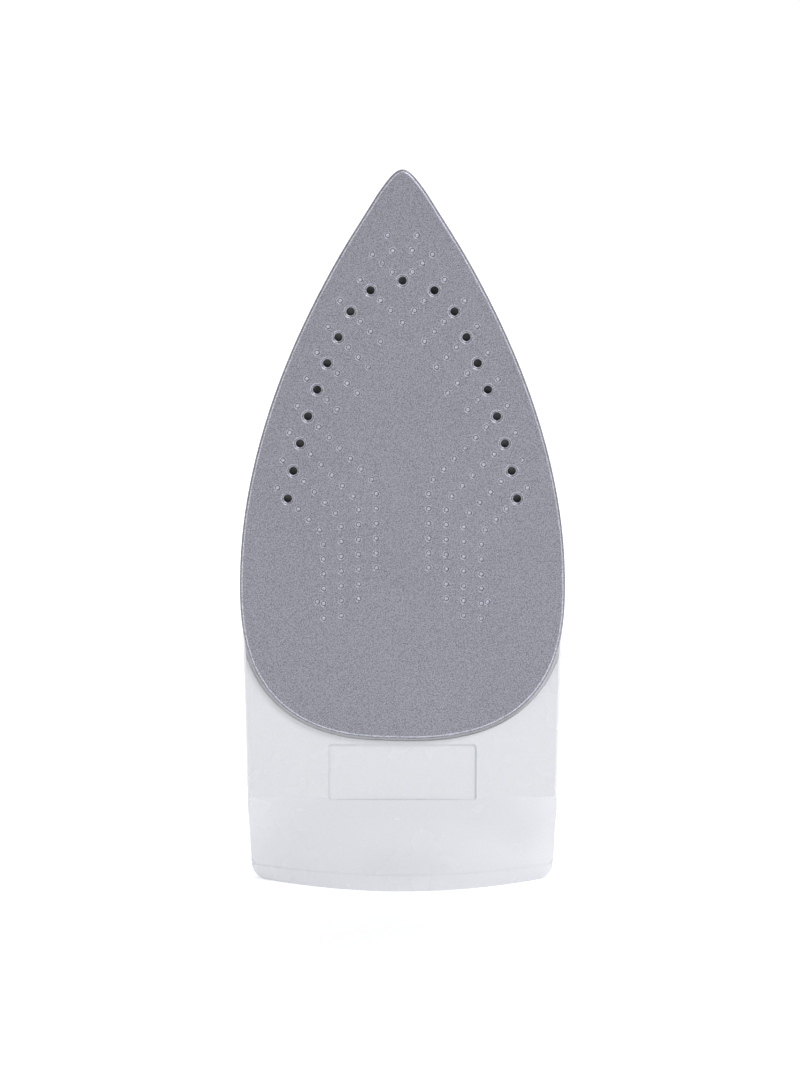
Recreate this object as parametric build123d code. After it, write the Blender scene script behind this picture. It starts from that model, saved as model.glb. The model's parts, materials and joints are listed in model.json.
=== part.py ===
from build123d import *

import math
import os

# A household steam iron standing on its heel, in millimetres.
# X runs across the iron, +Y from the soleplate's working face to the back of the handle,
# and +Z from the heel that it stands on up to the tip.  The origin is on the heel plane,
# below the middle of the iron's bounding box.
# A depth d is a distance in +Y behind the soleplate's working face.

# ---- driving dimensions -------------------------------------------------------------
SOLE_Y = -66.9              # the soleplate's working face lies in this plane
HALF_W = 59.0               # soleplate's half width
WIDEST_Z = 115.0            # height at which the soleplate is widest
TIP_Z = 264.5               # the soleplate's tip
SOLE_REAR_Z = 57.7          # the soleplate's rounded rear edge
WALL = 2.4                  # moulded wall of every housing shell
GAP = 0.4                   # moulded parting gap between shells
DECK_D = 62.0               # depth of the deck under the handle
BODY_HALF_W, DECK_HALF_W = 58.2, 24.0        # body's half width at its widest and at the deck
NOSE_TIP_Z, NOSE_DROP = 263.6, 41.0          # nose's top by the skirt, and its drop up to the deck
CREASE_Z = 34.7             # crease above the heel's coved front
HEEL_BOW = 25.0             # how far the heel's front edge bows back at its sides
HEEL_SPLIT_Z = 6.0          # top of the heel cover at the front
TANK_REAR_Z = 50.0          # seam between the tank and the rear housing

# ---- soleplate ----------------------------------------------------------------------
SOLE_T = 2.0
SOLE_EDGE_R = 1.3
SKIRT_D = 2.6               # depth of the skirt's front face
STEAM_R, STEAM_RIM_R, STEAM_RIM_DEPTH = 1.5, 2.5, 0.7
DIMPLE_R, DIMPLE_DEPTH = 1.3, 0.58
CENTRE_HOLE_Z = 224.6       # the steam hole nearest the tip
NOSE_PAIR = (11.5, 221.1)   # the pair of steam holes beside it
SIDE_HOLE_TOP_Z = 213.5     # first hole of each side row
SIDE_HOLES = 8
SIDE_HOLE_INSET = 14.7      # from the soleplate's side, across
SIDE_HOLE_PITCH = 10.3
DIMPLE_PITCH = 5.4          # along a row of dimples
SHORT_ROW = (2, 3, 3, 3, 2)                  # dimples inside each of the first five side holes
COLUMN_X = (9.5, 15.85, 22.2, 28.55)         # where the last four rows turn straight down
COLUMN_END_Z = (118.0, 111.0, 105.0, 100.2)  # and where they end

# ---- depths of the layers inside ----------------------------------------------------
CAST_TOP = 9.0              # top of the heater casting's base
CHAMBER_TOP = 12.0          # top of the steam chamber's wall
BOSS_TOP = 13.8             # casting's screw bosses, and the underside of the skirt's ledges
LEDGE_T = 2.0
SHIELD_D, SHIELD_T = 16.2, 0.8
TANK_FLOOR_D, TANK_FLOOR_T = 22.0, 2.4

# ---- places shared by several parts, as (x, z) --------------------------------------
DIAL_Z = 100.0
VALVE_Z = 198.0
PUMP_X, PUMP_Z = 9.2, 190.5
SUCTION_X, DELIVERY_X = 12.0, 6.4
BUTTON_Z = 183.0
SOLE_SCREWS = ((0.0, 238.0), (-26.0, 76.0), (26.0, 76.0))
SHIELD_POSTS = ((-44.0, 120.0), (44.0, 120.0), (-32.0, 182.0), (32.0, 182.0))
ELEMENT_D = 9.6             # depth of the heating element's axis
ELEMENT_R = 3.3
SHEATH_END_Z = 82.0         # where the element leaves the casting
DRUM_Z, DRUM_D, DRUM_R, DRUM_HALF = 18.0, 97.5, 11.0, 8.8
GLAND_TILT = 8.0            # degrees by which the cord gland leans down from straight back
GLAND_SWING = 22.0
CORD_R = 3.6                # gland's bore, for a flexible lead of 7 mm
CLAMP_REACH = 23.0          # from the drum's axis in to the middle of the cord clamp
TERMINAL_X = (-9.5, 0.0, 9.5)
FUSE_X, FUSE_D = 14.0, 11.4
LAMP_Z = 66.0
NOZZLE_D, NOZZLE_Z = 76.0, 214.8      # spray nozzle's depth, and its flange's height
LEVER_D = 96.0
NEEDLE_D = 19.8             # tip of the steam valve's needle, half open
BUTTON_TRAVEL = 4.0

# Handle's centre line and section: height, depth, half width, half thickness.
HANDLE = (
    (22.0, 44.0, 36.0, 26.0),
    (22.0, 62.0, 31.0, 24.5),
    (24.0, 82.0, 25.5, 21.0),
    (34.5, 103.0, 20.5, 16.5),
    (58.0, 116.5, 18.0, 14.2),
    (96.0, 120.0, 17.0, 13.2),
    (136.0, 120.5, 17.5, 13.2),
    (168.0, 116.5, 19.8, 14.5),
    (189.0, 101.5, 21.0, 15.5),
    (196.5, 80.0, 21.5, 16.0),
    (198.5, 60.0, 22.5, 17.5),
    (199.5, 44.0, 24.0, 18.5),
)
HANDLE_SQUARENESS = 2.5     # exponent of its superellipse section

SIDE = Plane(origin=(0, SOLE_Y, 0), x_dir=(0, 0, 1), z_dir=(-1, 0, 0))  # local (z, d)


# ---- helpers ------------------------------------------------------------------------
def at_depth(d):
    """The plane at depth d, with its local x along X and its local y along Z."""
    return Plane(origin=(0, SOLE_Y + d, 0), x_dir=(1, 0, 0), z_dir=(0, -1, 0))


def slab(face, d0, d1):
    """A face drawn in (x, z), made solid from depth d0 to depth d1."""
    return extrude(at_depth(d1) * face, d1 - d0)


def rod(x, z, r, d0, d1):
    """A cylinder along Y."""
    return slab(Pos(x, z) * Circle(r), d0, d1)


def pipe(x, z, r_out, r_in, d0, d1):
    """A tube along Y."""
    return slab(Pos(x, z) * (Circle(r_out) - Circle(r_in)), d0, d1)


def block(x0, x1, d0, d1, z0, z1):
    """A box between two corners, given as x, depth and z."""
    size = (x1 - x0, d1 - d0, z1 - z0)
    middle = ((x0 + x1) / 2, SOLE_Y + (d0 + d1) / 2, (z0 + z1) / 2)
    return Pos(*middle) * Box(*size)


def across(face, half_x):
    """A face drawn in (z, d), made solid to half_x on both sides of the middle plane."""
    return extrude(SIDE * face, half_x, both=True)


def polygon(*points):
    return make_face(Polyline(*points, close=True))


def bar_x(z, d, r, half_x):
    """A cylinder along X, centred on the middle plane."""
    return across(Pos(z, d) * Circle(r), half_x)


def bar_z(x, d, r0, r1, z0, z1):
    """A cylinder or cone along Z, of radius r0 at z0 and r1 at z1."""
    shape = Cylinder(r0, z1 - z0) if r0 == r1 else Cone(r0, r1, z1 - z0)
    return Pos(x, SOLE_Y + d, (z0 + z1) / 2) * shape


def wire_tube(points, radii, r):
    """A round bar along straight runs joined by tangent arcs; points are (x, d, z)."""
    path = FilletPolyline([(x, SOLE_Y + d, z) for x, d, z in points], radius=radii)
    profile = Plane(origin=path @ 0, z_dir=path % 0) * Circle(r)
    return sweep(profile, path=path)


def mirrored(points):
    return [(-x, z) for x, z in reversed(points)]


# ---- outlines -----------------------------------------------------------------------
NOSE_STEPS = (0.0, 0.14, 0.28, 0.42, 0.56, 0.70, 0.82, 0.91, 0.97)


def nose_width(z, half_w=HALF_W, tip=TIP_Z, blunt=0.0):
    """Half width above the widest point: nearly straight flanks that meet in a round tip."""
    return half_w * (1 - 0.955 * ((z - WIDEST_Z) / (tip - WIDEST_Z)) ** (1.89 + blunt))


def nose_points(half_w, tip, blunt=0.0):
    heights = [WIDEST_Z + s * (tip - WIDEST_Z) for s in NOSE_STEPS]
    return [(nose_width(z, half_w, tip, blunt), z) for z in heights]


def sole_face(inset=0.0):
    """The soleplate's outline, moved in by inset: a pointed nose on a superelliptic rear."""
    half_w, tip, rear = HALF_W - inset, TIP_Z - 1.9 * inset, SOLE_REAR_Z + inset
    power = 2 / 2.6
    heel = []
    for degrees in range(15, 90, 15):
        turn = math.radians(degrees)
        heel.append((half_w * math.sin(turn) ** power,
                     WIDEST_Z - (WIDEST_Z - rear) * math.cos(turn) ** power))
    right = heel + nose_points(half_w, tip)
    return make_face(Spline([(0, rear)] + right + [(0, tip)] + mirrored(right), periodic=True))


def hull_face(d, inset=0.0):
    """The body's outline at depth d: a pointed nose on straight sides that reach the heel."""
    shoulder = max(0.0, (d - 24) / (DECK_D - 24))
    edge = max(0.0, (8 - d) / 8) ** 2
    half_w = DECK_HALF_W + (BODY_HALF_W - DECK_HALF_W) * math.sqrt(max(0.0, 1 - shoulder ** 2.3))
    half_w -= 2.6 * edge + inset
    rise = max(0.0, d - 8) / (DECK_D - 8)
    tip = NOSE_TIP_Z - NOSE_DROP * rise ** 1.5 - 1.5 * edge - 1.9 * inset
    blunt = 2.2 * max(0.0, rise - 0.3)
    rear = 0.967 * (half_w + inset) - inset
    corner = 5.5 - inset
    side = [(rear, inset + corner),
            (rear + 0.25 * (half_w - rear), WIDEST_Z * 0.33),
            (rear + 0.75 * (half_w - rear), WIDEST_Z * 0.66)] + nose_points(half_w, tip, blunt)
    top = Spline(side + [(0, tip)] + mirrored(side), tangents=[(0, 1), (0, -1)])
    left = CenterArc((corner - rear, inset + corner), corner, 180, 90)
    right = CenterArc((rear - corner, inset + corner), corner, 270, 90)
    foot = Line((corner - rear, inset), (rear - corner, inset))
    return make_face([top, left, foot, right])


def hull_loft(inset, depths):
    return loft([at_depth(d) * hull_face(d, inset) for d in depths])


def heel_bow(back=0.0):
    """What lies in front of the heel's bowed, coved front, moved back by back."""
    sections = []
    top, bottom, reach = CREASE_Z + 2, -2.0, 70.0
    for k in range(7):
        z = bottom + (top - bottom) * k / 6
        u = (z - HEEL_SPLIT_Z) / (CREASE_Z - HEEL_SPLIT_Z)
        middle = 6.6 + 2.0 * math.sin(math.pi * min(max(u, 0.0), 1.0)) - 4.0 * max(u, 0.0) ** 3
        bow = HEEL_BOW * (1 - 0.93 * u)
        curve = [(x, middle + back + bow * (x / BODY_HALF_W) ** 2)
                 for x in (-reach, -50, -34, -17, 0, 17, 34, 50, reach)]
        front = Spline(curve)
        frame = Polyline(curve[-1], (reach, -30), (-reach, -30), curve[0])
        level = Plane(origin=(0, SOLE_Y, z), x_dir=(1, 0, 0), z_dir=(0, 0, 1))
        sections.append(level * make_face([front, frame]))
    return loft(sections)


# ---- handle -------------------------------------------------------------------------
def handle_tangent(i):
    """Direction of the handle's centre line at station i, as (z, d)."""
    a, b = HANDLE[max(i - 1, 0)], HANDLE[min(i + 1, len(HANDLE) - 1)]
    run = math.hypot(b[0] - a[0], b[1] - a[1])
    return (b[0] - a[0]) / run, (b[1] - a[1]) / run


def handle_face(w, t):
    """Superelliptic section of the handle, with half width w and half thickness t."""
    power = 2 / HANDLE_SQUARENESS
    right = []
    for k in (1, 2, 3):
        turn = math.radians(22.5 * k)
        right.append((w * math.cos(turn) ** power, t * math.sin(turn) ** power))
    right = [(x, -y) for x, y in reversed(right)] + [(w, 0)] + right
    half = Spline([(0, -t)] + right + [(0, t)], tangents=[(1, 0), (-1, 0)])
    return make_face([half, Spline([(0, t)] + mirrored(right) + [(0, -t)], tangents=[(-1, 0), (1, 0)])])


def handle_loft(grow=0.0):
    """The handle's solid form, with its section grown by grow all round."""
    sections = []
    for i, (z, d, w, t) in enumerate(HANDLE):
        along_z, along_d = handle_tangent(i)
        plane = Plane(origin=(0, SOLE_Y + d, z), x_dir=(1, 0, 0), z_dir=(0, along_d, along_z))
        sections.append(plane * handle_face(w + grow, t + grow))
    return loft(sections)


def handle_outside(shift):
    """Everything on the outer side of the handle's seam, which is moved out by shift."""
    line = []
    for i, (z, d, _, _) in enumerate(HANDLE):
        along_z, along_d = handle_tangent(i)
        line.append((z - along_d * shift, d + along_z * shift))
    seam = Spline(line)
    frame = Polyline(line[-1], (300, line[-1][1]), (300, 200), (-60, 200),
                     (-60, line[0][1]), line[0])
    return across(make_face([seam, frame]), 60)


# ---- tools that split the shells ----------------------------------------------------
def below_parting(shift):
    """Everything in front of the skirt's upper edge, which sweeps towards the tip."""
    edge = [(-20, 30 + shift), (50, 26 + shift), (130, 19.5 + shift), (200, 16.5 + shift),
            (290, 15.5 + shift)]
    return across(make_face([Spline(edge), Polyline(edge[-1], (290, -20), (-20, -20), edge[0])]), 80)


def heel_region(shift):
    """Everything that belongs to the heel cover."""
    top = HEEL_SPLIT_Z + shift
    return across(polygon((-20, -20), (top, -20), (top, 64), (DRUM_Z + shift, DRUM_D),
                          (DRUM_Z + shift + 9, 125), (-20, 125)), 80)


def gland_direction(degrees=0.0):
    """Unit (z, d) along the cord gland, degrees below its rest position."""
    turn = math.radians(GLAND_TILT + degrees)
    return -math.sin(turn), math.cos(turn)


def drum_window():
    """The room that the cord gland needs in the shells, over its whole swing."""
    room = bar_x(DRUM_Z, DRUM_D, DRUM_R + 0.4, DRUM_HALF + 0.4)
    sweep_room = GLAND_SWING + 16
    corners = [gland_direction(a) for a in (-sweep_room, 0, sweep_room)]
    wedge = polygon((DRUM_Z, DRUM_D), *[(DRUM_Z + 45 * z, DRUM_D + 45 * d) for z, d in corners])
    return room + across(wedge, 6.6)


# ---- soleplate ----------------------------------------------------------------------
def steam_holes():
    """Places of the steam holes on the right side, from the nose pair down, as (x, z)."""
    holes = [NOSE_PAIR]
    z = SIDE_HOLE_TOP_Z
    for _ in range(SIDE_HOLES):
        x = nose_width(z) - SIDE_HOLE_INSET
        holes.append((x, z))
        slope = nose_width(z - 1) - nose_width(z)
        z -= SIDE_HOLE_PITCH / math.hypot(1, slope)
    return holes


def row_inside(hole, count):
    """A short row of dimples that runs inwards and down from a steam hole."""
    step = DIMPLE_PITCH * 0.94 / math.sqrt(2)
    return [(hole[0] - step * k, hole[1] - step * k) for k in range(1, count + 1)]


def row_to_column(hole, column_x, end_z):
    """A long row that runs inwards and down from a steam hole, then straight down."""
    step = DIMPLE_PITCH / math.sqrt(2)
    x, z = hole[0] - step, hole[1] - step
    row = []
    while z > end_z - 0.5 * DIMPLE_PITCH:
        row.append((x, z))
        inward = min(step, x - column_x)
        x -= inward
        z -= math.sqrt(DIMPLE_PITCH ** 2 - inward ** 2)
    return row


def dimple_places():
    """Every dimple's (x, z) on the right side, and those on the middle line."""
    holes = steam_holes()
    side = [(3.6 * k, CENTRE_HOLE_Z + 3.15 * k) for k in (1, 2, 3)]
    side += [(3.5, CENTRE_HOLE_Z + 10.8), (5.3, CENTRE_HOLE_Z + 16.3)]
    side += [(x + 3.7, z + 3.9) for x, z in holes]
    for hole, count in zip(holes, SHORT_ROW):
        side += row_inside(hole, count)
    for hole, column_x, end_z in zip(holes[5:], COLUMN_X, COLUMN_END_Z):
        side += row_to_column(hole, column_x, end_z)
    side.append((COLUMN_X[-1] + 2.3, COLUMN_END_Z[-1] + 7.9))
    return side, [(0.0, CENTRE_HOLE_Z - 15.1)]


def all_steam_holes():
    right = steam_holes()
    return [(0.0, CENTRE_HOLE_Z)] + right + mirrored(right)


def soleplate():
    plate = slab(sole_face(), 0, SOLE_T)
    front = plate.faces().sort_by(Axis.Y)[0]
    plate = fillet(front.edges(), SOLE_EDGE_R)
    ball_r = (DIMPLE_R ** 2 + DIMPLE_DEPTH ** 2) / (2 * DIMPLE_DEPTH)
    side, middle = dimple_places()
    balls = [Pos(x, SOLE_Y + DIMPLE_DEPTH - ball_r, z) * Sphere(ball_r)
             for x, z in side + mirrored(side) + middle]
    cutters = []
    for x, z in all_steam_holes():
        cutters.append(rod(x, z, STEAM_R, -1, SOLE_T + 1))
        cone = Cone(STEAM_R, STEAM_RIM_R, STEAM_RIM_DEPTH)
        cutters.append(Pos(x, SOLE_Y + STEAM_RIM_DEPTH / 2, z) * Rot(90, 0, 0) * cone)
    return plate - balls - cutters


# ---- heater -------------------------------------------------------------------------
def element_path(end_z):
    """The heating element's hairpin, from one rear end round the nose to the other."""
    x_end = 37 - (122 - end_z) / 2
    points = [(-x_end, end_z), (-37, 122), (-31, 165), (0, 245), (31, 165), (37, 122), (x_end, end_z)]
    return FilletPolyline([(x, SOLE_Y + ELEMENT_D, z) for x, z in points],
                          radius=[30, 40, 12, 40, 30])


def along_element(r, end_z):
    path = element_path(end_z)
    return sweep(Plane(origin=path @ 0, z_dir=path % 0) * Circle(r), path=path)


def chamber_face(inset):
    """The steam chamber's outline, moved in by inset: the forward part of the nose."""
    forward = Pos(0, 200) * Rectangle(120, 2 * (200 - 120 - inset))
    return sole_face(29 + inset) & forward


def heater_casting():
    body = slab(sole_face(7.5), SOLE_T, CAST_TOP)
    body += slab(chamber_face(0), CAST_TOP - 1, CHAMBER_TOP)
    body += along_element(5.2, SHEATH_END_Z)
    for x, z in SOLE_SCREWS:
        body += rod(x, z, 5, CAST_TOP - 1, BOSS_TOP)
    for x, z in SHIELD_POSTS:
        body += rod(x, z, 2.5, CAST_TOP - 1, SHIELD_D)
    body -= slab(chamber_face(2.4), 5.4, CHAMBER_TOP + 1)
    body -= slab(sole_face(10.5) - sole_face(42), SOLE_T - 1, 4.2)
    body -= along_element(ELEMENT_R + 0.05, SHEATH_END_Z - 20)
    for x, z in SOLE_SCREWS:
        body -= rod(x, z, 1.5, 5.2, BOSS_TOP + 1)
    for x, z in ((20, 128), (-20, 128), (17, 140), (-17, 140)):
        body -= rod(x, z, 2.0, 3, 6)
    return body


def heating_element():
    return along_element(ELEMENT_R, SHEATH_END_Z - 6)


def element_ends():
    """Place (x, d, z) and inward direction at the element's two cold ends."""
    path = element_path(SHEATH_END_Z - 6)
    return [(path @ 0, path % 0), (path @ 1, -(path % 1))]


def element_pins():
    pins = []
    for place, inward in element_ends():
        plane = Plane(origin=place, z_dir=-inward)
        pins.append(extrude(plane * Circle(1.1), 11))
    return Compound(pins)


def pin_insulators():
    rings = []
    for place, inward in element_ends():
        plane = Plane(origin=place, z_dir=-inward)
        rings.append(extrude(plane * (Circle(2.7) - Circle(1.15)), 3))
    return Compound(rings)


def chamber_gasket():
    return slab(chamber_face(0) - chamber_face(2.4), CHAMBER_TOP, CHAMBER_TOP + 0.5)


def chamber_cover():
    lid = slab(chamber_face(0), CHAMBER_TOP + 0.5, CHAMBER_TOP + 1.3)
    lid -= rod(0, VALVE_Z, 2.6, 0, 30)
    return lid - rod(DELIVERY_X, PUMP_Z, 1.75, 0, 30)


def heat_shield():
    face = sole_face(12) & (Pos(0, 165) * Rectangle(120, 200))
    sheet = slab(face, SHIELD_D, SHIELD_D + SHIELD_T)
    sheet -= slab(Pos(0, DIAL_Z - 4) * RectangleRounded(26, 36, 6), 10, 20)
    sheet -= rod(0, VALVE_Z, 6.5, 0, 30)
    sheet -= rod(DELIVERY_X, PUMP_Z, 2.5, 0, 30)
    for x, z in SOLE_SCREWS:
        sheet -= rod(x, z, 6, 0, 30)
    return sheet


def sole_screws():
    screws = []
    for x, z in SOLE_SCREWS:
        head_d = BOSS_TOP + LEDGE_T
        screw = rod(x, z, 1.45, 6, head_d) + rod(x, z, 3.2, head_d, head_d + 1.9)
        cross = block(x - 2, x + 2, head_d + 0.9, head_d + 3, z - 0.4, z + 0.4)
        cross += block(x - 0.4, x + 0.4, head_d + 0.9, head_d + 3, z - 2, z + 2)
        screws.append(screw - cross)
    return Compound(screws)


# ---- thermostat ---------------------------------------------------------------------
def thermostat_bracket():
    foot = block(-6, 6, CAST_TOP, CAST_TOP + 1, DIAL_Z - 17, DIAL_Z + 6)
    arm = block(-6, 6, CAST_TOP + 1, 20, DIAL_Z + 5, DIAL_Z + 6)
    top = block(-6, 6, 19, 20, DIAL_Z - 6, DIAL_Z + 6) - rod(0, DIAL_Z, 2.1, 0, 30)
    return foot + arm + top


def thermostat_bimetal():
    strip = block(-4, 4, CAST_TOP + 1, CAST_TOP + 2, DIAL_Z - 17, DIAL_Z - 9)
    bend = across(polygon((DIAL_Z - 9, CAST_TOP + 1), (DIAL_Z + 3, CAST_TOP + 3.6),
                          (DIAL_Z + 3, CAST_TOP + 4.4), (DIAL_Z - 9, CAST_TOP + 2)), 4)
    return strip + bend


def thermostat_ceramics():
    """Ceramic rings stacked on the thermostat's rivet, apart from each other."""
    stack_z = DIAL_Z - 13
    return Compound([pipe(0, stack_z, 3.4, 1.4, d0, d0 + 1.8) for d0 in (11.0, 13.4, 15.8)])


def thermostat_leaves():
    """Two contact springs between the ceramic rings, with the contact points between them."""
    stack_z = DIAL_Z - 13
    leaves = []
    for d0, reach in ((12.8, 12), (15.2, 9)):
        leaf = block(-2.2, 2.2, d0, d0 + 0.6, stack_z - 4, stack_z + reach)
        leaves.append(leaf - rod(0, stack_z, 1.4, 0, 30))
    leaves[0] += rod(0, stack_z + 7, 1.2, 13.4, 14.2)
    leaves[1] += rod(0, stack_z + 7, 1.2, 14.3, 15.2)
    return Compound(leaves)


def thermostat_rivet():
    stack_z = DIAL_Z - 13
    shank = rod(0, stack_z, 1.35, 11.0, 17.6)
    return shank + rod(0, stack_z, 2.4, 17.6, 18.5)


def thermostat_stud():
    """The threaded stud that the dial turns, pressing on the contact spring."""
    stud = rod(0, DIAL_Z, 2.0, 17.8, 24)
    return stud + rod(0, DIAL_Z, 3.4, 20.3, 22.4)


def dial_shaft():
    shaft = rod(0, DIAL_Z, 3.4, 22.4, 70)
    socket = rod(0, DIAL_Z, 2.0, 22, 24)
    flat = block(-4, 4, 58, 72, DIAL_Z + 2.4, DIAL_Z + 6)
    return shaft - socket - flat


def thermal_fuse():
    can = bar_z(FUSE_X, FUSE_D, 2.1, 2.1, 102, 114)
    return can + bar_z(FUSE_X, FUSE_D, 0.6, 0.6, 97, 118.5)


def fuse_clip():
    """A strap over the fuse with a foot on the casting."""
    strap = bar_z(FUSE_X, FUSE_D, 2.9, 2.9, 106, 111) - bar_z(FUSE_X, FUSE_D, 2.15, 2.15, 105, 112)
    strap &= block(FUSE_X - 5, FUSE_X + 5, CAST_TOP, 20, 100, 120)
    foot = block(FUSE_X + 2.2, FUSE_X + 7.5, CAST_TOP, CAST_TOP + 0.8, 106, 111)
    return strap + foot - rod(FUSE_X + 5, 108.5, 1.0, 0, 30)


# ---- body shells --------------------------------------------------------------------
OUTER_DEPTHS = (SKIRT_D, 8, 16, 24, 36, 46, 54, 59, 61.4, DECK_D)
INNER_DEPTHS = (SKIRT_D + WALL, 8, 16, 24, 36, 46, 54, 58.4, DECK_D - WALL)


def hull_solid(inset=0.0, bow=True):
    depths = OUTER_DEPTHS if inset == 0 else INNER_DEPTHS
    solid = hull_loft(inset, depths)
    floor = block(-90, 90, -20, 160, -30, inset)
    solid -= floor
    return solid - heel_bow(inset) if bow else solid


def skirt(hull_shell, hull_inside):
    shell = hull_shell & below_parting(-GAP / 2)
    ledges = block(-30, 30, BOSS_TOP, BOSS_TOP + LEDGE_T, 229, 262)
    ledges += block(22, 70, BOSS_TOP, BOSS_TOP + LEDGE_T, 60, 83)
    ledges += block(-70, -22, BOSS_TOP, BOSS_TOP + LEDGE_T, 60, 83)
    shell += ledges & hull_inside
    shell -= heel_region(GAP / 2)
    shell -= slab(sole_face(6.6), 0, SKIRT_D + WALL + 0.1)
    for x, z in SOLE_SCREWS:
        shell -= rod(x, z, 1.7, 10, 20)
    shell -= slab(sole_face(-1.1), SKIRT_D - 1, SKIRT_D + 0.5)
    label = RectangleRounded(54, 20.8, 1.2)
    return shell - slab(Pos(0, 45.1) * label, SKIRT_D - 1, SKIRT_D + 0.8)


def door_hinge():
    """Height and depth of the filler door's hinge axis, just under the nose's surface."""
    z = 226.0
    d = 8 + (DECK_D - 8) * ((NOSE_TIP_Z - z) / NOSE_DROP) ** (1 / 1.5)
    slope = NOSE_DROP * 1.5 * math.sqrt((d - 8) / (DECK_D - 8)) / (DECK_D - 8)
    size = math.hypot(1, slope)
    return z - DOOR_KNUCKLE_R / size, d - DOOR_KNUCKLE_R * slope / size


DOOR_KNUCKLE_R = 2.2
DOOR_HALF_W = 7.0
DOOR_TOP_Z, DOOR_END_Z = 226.0, 244.0


def tank_shell(hull_shell, hull_inside, hull):
    shell = hull_shell - below_parting(GAP / 2)
    shell &= block(-90, 90, -20, 160, TANK_REAR_Z + GAP / 2, 300)
    axis_z, axis_d = door_hinge()
    room = 0.4
    shell -= block(-DOOR_HALF_W - room, DOOR_HALF_W + room, 30, 75,
                   axis_z - DOOR_KNUCKLE_R - room, DOOR_END_Z + room)
    for side in (-1, 1):
        inner, outer = sorted((side * (DOOR_HALF_W + room), side * (DOOR_HALF_W + room + 3)))
        shell += block(inner, outer, axis_d - 4, axis_d + 4, axis_z - 3.5, axis_z + 3) & hull
    shell -= bar_x(axis_z, axis_d, 1.0, 10)
    shell -= rod(0, DIAL_Z, 5.6, 50, 70)
    shell -= rod(0, VALVE_Z, 2.0, 50, 70)
    for x in (-SUCTION_X, SUCTION_X, DELIVERY_X):
        shell -= rod(x, PUMP_Z, 1.75, 40, 70)
    return shell


def fill_door(hull_shell):
    axis_z, axis_d = door_hinge()
    lid = hull_shell & block(-DOOR_HALF_W, DOOR_HALF_W, 30, 75, DOOR_TOP_Z - 0.6, DOOR_END_Z)
    knuckle = bar_x(axis_z, axis_d, DOOR_KNUCKLE_R, DOOR_HALF_W)
    thumb = bar_x(DOOR_END_Z - 2.6, 43.4, 1.5, 4)
    return lid + knuckle + thumb - bar_x(axis_z, axis_d, 1.0, 10)


def door_pin():
    axis_z, axis_d = door_hinge()
    return bar_x(axis_z, axis_d, 0.95, 9.6)


def tank_floor(hull_tight):
    top = DECK_D - WALL - 0.2
    floor = block(-80, 80, TANK_FLOOR_D, TANK_FLOOR_D + TANK_FLOOR_T, 51, 300)
    rear_wall = block(-80, 80, TANK_FLOOR_D, top, 51, 53)
    part = (floor + rear_wall) & hull_tight
    part += rod(0, DIAL_Z, 7.6, TANK_FLOOR_D, DECK_D - WALL)
    part -= rod(0, DIAL_Z, 5.6, 10, 70)
    part += rod(0, VALVE_Z, 6.0, 18.6, 27)
    part -= rod(0, VALVE_Z, 4.0, 10, 70)
    return part - rod(DELIVERY_X, PUMP_Z, 1.75, 10, 30)


def rear_housing(hull_shell, hull_inside):
    shell = hull_shell - below_parting(GAP / 2)
    shell &= block(-90, 90, -20, 160, -10, TANK_REAR_Z - GAP / 2)
    shelf = block(-19, 19, 34, DECK_D - WALL + 0.5, 26, 28)
    shell += shelf & hull_inside
    shell -= heel_region(GAP / 2)
    shell -= block(-13, 13, 50, 70, 9, 25)
    return shell - block(-13, 13, 50, 70, 29, 40)


# ---- handle shells ------------------------------------------------------------------
def button_prism(side, inset):
    face = Pos(side * PUMP_X, BUTTON_Z) * RectangleRounded(16 - 2 * inset, 23 - 2 * inset, 4 - inset)
    return slab(face, 60, 150)


def lever_slot():
    return block(-9.5, 9.5, LEVER_D - 2.6, LEVER_D + 2.6, 200, 225)


def handle_upper(handle_shell):
    shell = handle_shell & handle_outside(0.15)
    shell -= heel_region(GAP / 2)
    for side in (-1, 1):
        shell -= button_prism(side, 0) & block(-40, 40, 108, 150, 160, 210)
    shell -= bar_z(0, NOZZLE_D, 5.6, 5.6, 203, 230)
    shell -= rod(0, LAMP_Z, 3.6, 120, 150)
    return shell - lever_slot() - drum_window()


def handle_lower(handle_shell):
    shell = handle_shell - handle_outside(-0.15)
    shell -= heel_region(GAP / 2)
    return shell - drum_window()


def heel_cover(hull_shell, handle_shell, handle):
    region = heel_region(-GAP / 2)
    cover = (hull_shell & region) + (handle_shell & region)
    for x in (-10.6, 10.6):
        cover += block(x - 1.2, x + 1.2, DRUM_D - 5, DRUM_D + 5, 0, DRUM_Z + 5) & handle
    cover -= bar_x(DRUM_Z, DRUM_D, 2.55, 20)
    for x, d in HEEL_SCREWS:
        cover += bar_z(x, d, 4.2, 4.2, 1, 5.6)
        cover -= bar_z(x, d, 1.8, 1.8, -1, 10)
        cover -= bar_z(x, d, 3.4, 3.4, -1, 1.6)
    return cover - drum_window()


HEEL_SCREWS = ((-36.0, 38.0), (36.0, 38.0), (0.0, 74.0))


def heel_screws():
    screws = []
    for x, d in HEEL_SCREWS:
        screw = bar_z(x, d, 3.1, 3.1, 0.5, 1.6) + bar_z(x, d, 1.5, 1.5, 1.6, 12)
        slot = block(x - 1.9, x + 1.9, d - 0.4, d + 0.4, 0, 1.1)
        slot += block(x - 0.4, x + 0.4, d - 1.9, d + 1.9, 0, 1.1)
        screws.append(screw - slot)
    return Compound(screws)


# ---- controls -----------------------------------------------------------------------
def button(side, handle_proud, handle_inner):
    cap = handle_proud & button_prism(side, 0.35) & handle_outside(0.15)
    cap -= handle_inner
    x = side * PUMP_X
    return cap + (rod(x, PUMP_Z, 2.4, 114.5, 130) & handle_proud)


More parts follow.
